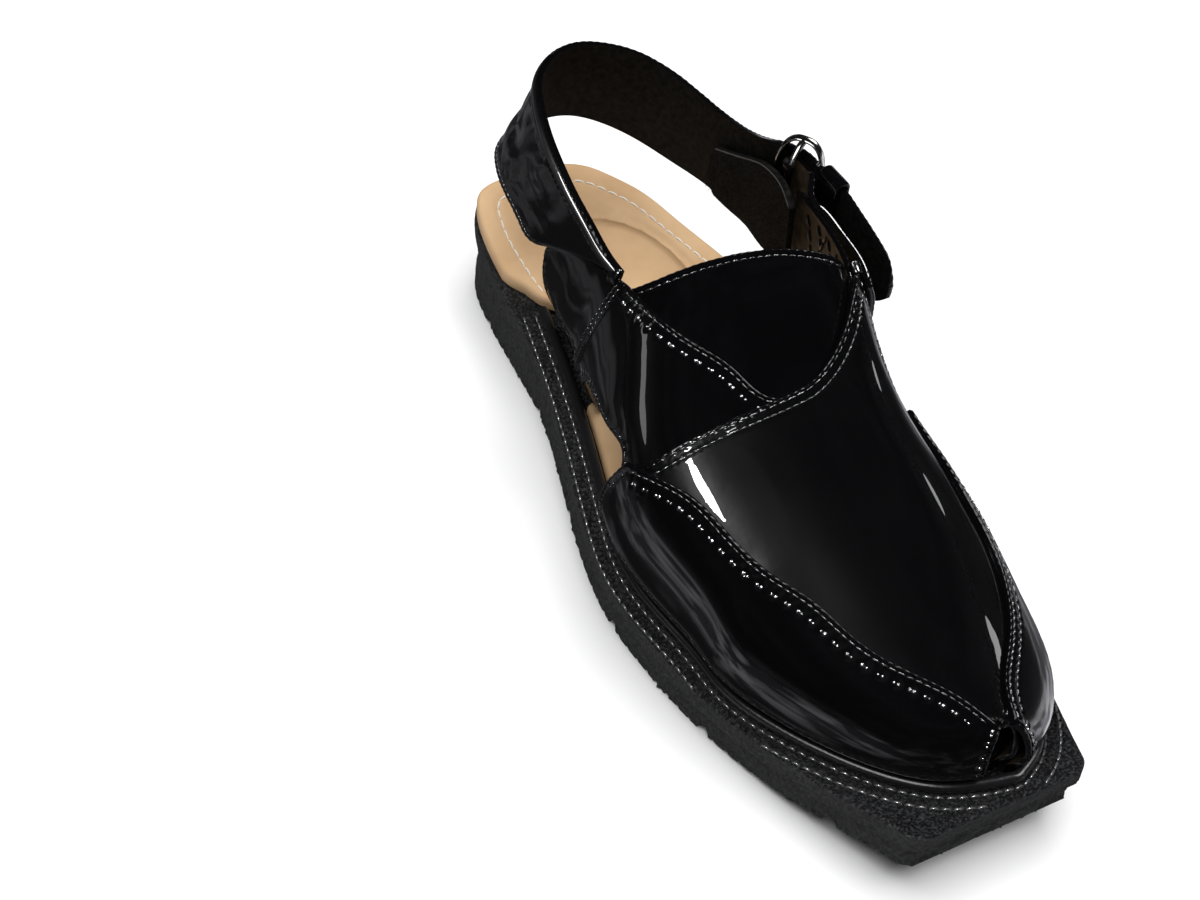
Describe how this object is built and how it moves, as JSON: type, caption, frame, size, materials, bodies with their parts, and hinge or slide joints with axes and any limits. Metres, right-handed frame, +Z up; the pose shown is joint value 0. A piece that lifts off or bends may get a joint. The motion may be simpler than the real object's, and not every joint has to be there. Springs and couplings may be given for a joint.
{
  "type": "peshawari chappal",
  "caption": "Left lasted leather sandal: open toe tip, open waist, strap round the heel with a buckle, thick lugged rubber sole.",
  "frame": {"origin": "on the floor under the middle of the whole shoe's box", "axes": "+Z up, -Y to the toe, +X to the lateral (outer) side"},
  "size_m": [0.115, 0.2892, 0.1031],
  "materials": {
    "rubber": "rough moulded charcoal rubber",
    "rand": "smooth black cord, satin",
    "tan_leather": "smooth tan leather, satin",
    "patent_leather": "glossy black patent leather",
    "lining": "matte black napped lining",
    "nickel": "polished nickel plate"
  },
  "bodies": {
    "root": {"outsole": "rubber", "midsole": "rubber", "welt_bead": "rand", "insole": "tan_leather", "upper": "patent_leather", "vamp": "patent_leather", "side_panel_medial": "patent_leather", "side_panel_lateral": "patent_leather", "tongue": "patent_leather", "heel_strap": "patent_leather", "buckle_strap": "patent_leather", "keeper": "patent_leather", "ankle_pad": "lining", "buckle_frame": "nickel", "buckle_prong": "nickel"}
  },
  "joints": []
}
